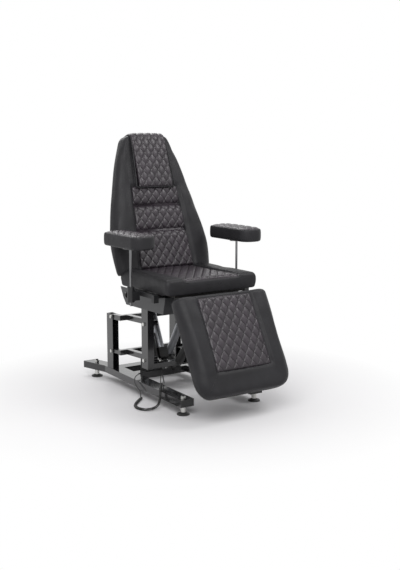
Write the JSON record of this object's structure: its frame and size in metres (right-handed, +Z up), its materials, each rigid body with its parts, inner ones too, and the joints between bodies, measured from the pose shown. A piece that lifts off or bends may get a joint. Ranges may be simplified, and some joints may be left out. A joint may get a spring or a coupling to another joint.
{
  "type": "tattoo chair",
  "caption": "Lifting, reclining tattoo chair with a folding leg rest, quilted cushions, swivelling armrests and a corded handset.",
  "frame": {"origin": "on the floor under the middle of the chair's length and width", "axes": "+X to the sitter's left, +Y to the rear, +Z up"},
  "size_m": [0.838, 1.3277, 1.4812],
  "materials": {
    "frame_black": "gloss",
    "skirt_grey": "satin",
    "zinc": "satin",
    "chrome": "polished",
    "actuator_grey": "satin",
    "black_plastic": "matte",
    "key_plastic": "matte",
    "plywood": "matte",
    "leather": "satin",
    "cord_rubber": "matte"
  },
  "bodies": {
    "base": {"side_rails": "frame_black", "front_crossbeam": "frame_black", "rear_crossbeam": "frame_black", "rail_end_caps": "black_plastic", "foot_sleeves_and_nuts": "zinc", "rear_posts": "frame_black", "rear_pivot_bolts": "zinc", "lift_bracket": "frame_black", "control_box": "black_plastic", "handset_holder": "black_plastic", "handset_shell": "black_plastic", "cord_curl": "cord_rubber", "cord_lead_handset": "cord_rubber", "cord_lead_box": "cord_rubber"},
    "upper_link": {"upper_link": "frame_black"},
    "lower_link": {"lower_link": "frame_black"},
    "carriage": {"carriage_posts": "frame_black", "front_pivot_bolts": "zinc", "lift_bar": "frame_black", "actuator_bar": "frame_black", "actuator_pins": "zinc", "seat_frame": "frame_black", "seat_skirt": "skirt_grey", "seat_board": "plywood", "seat_cushion": "leather", "back_hinge_brackets": "zinc", "leg_hinge_brackets": "zinc", "arm_bars": "frame_black", "arm_clamps": "frame_black", "cord_hook": "frame_black"},
    "backrest": {"back_frame": "frame_black", "back_board": "plywood", "back_cushion": "leather"},
    "head_pad": {"head_pad": "leather"},
    "legrest": {"leg_frame": "frame_black", "leg_board": "plywood", "leg_cushion": "leather"},
    "lift_tube": {"lift_motor": "black_plastic", "lift_tube": "actuator_grey"},
    "lift_rod": {"lift_rod": "zinc"},
    "back_tube": {"back_motor": "black_plastic", "back_tube": "actuator_grey"},
    "back_rod": {"back_rod": "zinc"},
    "leg_tube": {"leg_motor": "black_plastic", "leg_tube": "actuator_grey"},
    "leg_rod": {"leg_rod": "zinc"},
    "arm_post_left": {"arm_post_left": "chrome"},
    "arm_pad_left": {"arm_pad_left": "leather"},
    "clamp_knob_left": {"clamp_knob_left": "black_plastic"},
    "arm_post_right": {"arm_post_right": "chrome"},
    "arm_pad_right": {"arm_pad_right": "leather"},
    "clamp_knob_right": {"clamp_knob_right": "black_plastic"},
    "foot_front_left": {"foot_front_left": "black_plastic"},
    "foot_front_right": {"foot_front_right": "black_plastic"},
    "foot_rear_left": {"foot_rear_left": "black_plastic"},
    "foot_rear_right": {"foot_rear_right": "black_plastic"},
    "key_leg": {"handset_key_leg": "key_plastic"},
    "key_back": {"handset_key_back": "key_plastic"},
    "key_lift": {"handset_key_lift": "key_plastic"}
  },
  "joints": [
    {"name": "lift_hinge", "type": "hinge", "parent": "base", "child": "upper_link", "pos_m": [0, 0.396, 0.404], "axis": [-1, 0, 0], "range_deg": [-11, 32]},
    {"name": "carriage_hinge", "type": "hinge", "parent": "upper_link", "child": "carriage", "pos_m": [0, 0.01703, 0.422], "axis": [-1, 0, 0], "range_deg": [-32, 11]},
    {"name": "lower_hinge", "type": "hinge", "parent": "base", "child": "lower_link", "pos_m": [0, 0.396, 0.197], "axis": [-1, 0, 0], "range_deg": [-11, 32]},
    {"name": "lift_tube_hinge", "type": "hinge", "parent": "base", "child": "lift_tube", "pos_m": [0.05, 0.255, 0.125], "axis": [-1, 0, 0], "range_deg": [-5.51, 15.84]},
    {"name": "lift_rod_hinge", "type": "hinge", "parent": "carriage", "child": "lift_rod", "pos_m": [0.05, 0.02003, 0.5], "axis": [-1, 0, 0], "range_deg": [-5.51, 15.84]},
    {"name": "back_recline", "type": "hinge", "parent": "carriage", "child": "backrest", "pos_m": [0, 0.22003, 0.65], "axis": [-1, 0, 0], "range_deg": [0, 70]},
    {"name": "back_tube_hinge", "type": "hinge", "parent": "carriage", "child": "back_tube", "pos_m": [-0.075, 0.08203, 0.18], "axis": [-1, 0, 0], "range_deg": [-2.41, 0.1]},
    {"name": "back_rod_hinge", "type": "hinge", "parent": "backrest", "child": "back_rod", "pos_m": [-0.075, 0.29001, 0.64007], "axis": [-1, 0, 0], "range_deg": [-72.41, 0.1]},
    {"name": "leg_lift", "type": "hinge", "parent": "carriage", "child": "legrest", "pos_m": [0, -0.30897, 0.603], "axis": [-1, 0, 0], "range_deg": [0, 61]},
    {"name": "leg_tube_hinge", "type": "hinge", "parent": "carriage", "child": "leg_tube", "pos_m": [0, -0.04497, 0.19], "axis": [-1, 0, 0], "range_deg": [-2.91, 0.1]},
    {"name": "leg_rod_hinge", "type": "hinge", "parent": "legrest", "child": "leg_rod", "pos_m": [0, -0.31997, 0.52398], "axis": [-1, 0, 0], "range_deg": [-63.91, 0.1]},
    {"name": "head_pad_slide", "type": "slide", "parent": "backrest", "child": "head_pad", "axis": [0, 0.3107, 0.9505], "range_m": [0, 0.12]},
    {"name": "arm_height_left", "type": "slide", "parent": "carriage", "child": "arm_post_left", "axis": [0, 0, 1], "range_m": [-0.05, 0.1]},
    {"name": "arm_swivel_left", "type": "hinge", "parent": "arm_post_left", "child": "arm_pad_left", "pos_m": [0.354, -0.03997, 0.866], "axis": [0, 0, 1], "range_deg": [-90, 90]},
    {"name": "clamp_turn_left", "type": "hinge", "parent": "carriage", "child": "clamp_knob_left", "pos_m": [0.354, -0.02197, 0.602], "axis": [0, 1, 0], "range_deg": [-180, 180]},
    {"name": "arm_height_right", "type": "slide", "parent": "carriage", "child": "arm_post_right", "axis": [0, 0, 1], "range_m": [-0.05, 0.1]},
    {"name": "arm_swivel_right", "type": "hinge", "parent": "arm_post_right", "child": "arm_pad_right", "pos_m": [-0.354, -0.03997, 0.866], "axis": [0, 0, 1], "range_deg": [-90, 90]},
    {"name": "clamp_turn_right", "type": "hinge", "parent": "carriage", "child": "clamp_knob_right", "pos_m": [-0.354, -0.02197, 0.602], "axis": [0, 1, 0], "range_deg": [-180, 180]},
    {"name": "foot_height_front_left", "type": "slide", "parent": "base", "child": "foot_front_left", "axis": [0, 0, 1], "range_m": [-0.02, 0]},
    {"name": "foot_height_front_right", "type": "slide", "parent": "base", "child": "foot_front_right", "axis": [0, 0, 1], "range_m": [-0.02, 0]},
    {"name": "foot_height_rear_left", "type": "slide", "parent": "base", "child": "foot_rear_left", "axis": [0, 0, 1], "range_m": [-0.02, 0]},
    {"name": "foot_height_rear_right", "type": "slide", "parent": "base", "child": "foot_rear_right", "axis": [0, 0, 1], "range_m": [-0.02, 0]},
    {"name": "key_leg", "type": "hinge", "parent": "base", "child": "key_leg", "pos_m": [-0.1, 0.2304, 0.141], "axis": [-1, 0, 0], "range_deg": [-5, 5], "stiffness_Nm_per_rad": 0.15},
    {"name": "key_back", "type": "hinge", "parent": "base", "child": "key_back", "pos_m": [-0.1, 0.2304, 0.165], "axis": [-1, 0, 0], "range_deg": [-5, 5], "stiffness_Nm_per_rad": 0.15},
    {"name": "key_lift", "type": "hinge", "parent": "base", "child": "key_lift", "pos_m": [-0.1, 0.2304, 0.189], "axis": [-1, 0, 0], "range_deg": [-5, 5], "stiffness_Nm_per_rad": 0.15}
  ],
  "couplings": [
    {"joint": "carriage_hinge", "follows": "lift_hinge", "ratio": -1},
    {"joint": "lower_hinge", "follows": "lift_hinge", "ratio": 1},
    {"joint": "lift_tube_hinge", "follows": "lift_hinge", "ratio": 0.492},
    {"joint": "lift_rod_hinge", "follows": "lift_hinge", "ratio": 0.492},
    {"joint": "back_tube_hinge", "follows": "back_recline", "ratio": -0.033},
    {"joint": "back_rod_hinge", "follows": "back_recline", "ratio": -1.033},
    {"joint": "leg_tube_hinge", "follows": "leg_lift", "ratio": -0.046},
    {"joint": "leg_rod_hinge", "follows": "leg_lift", "ratio": -1.046}
  ]
}
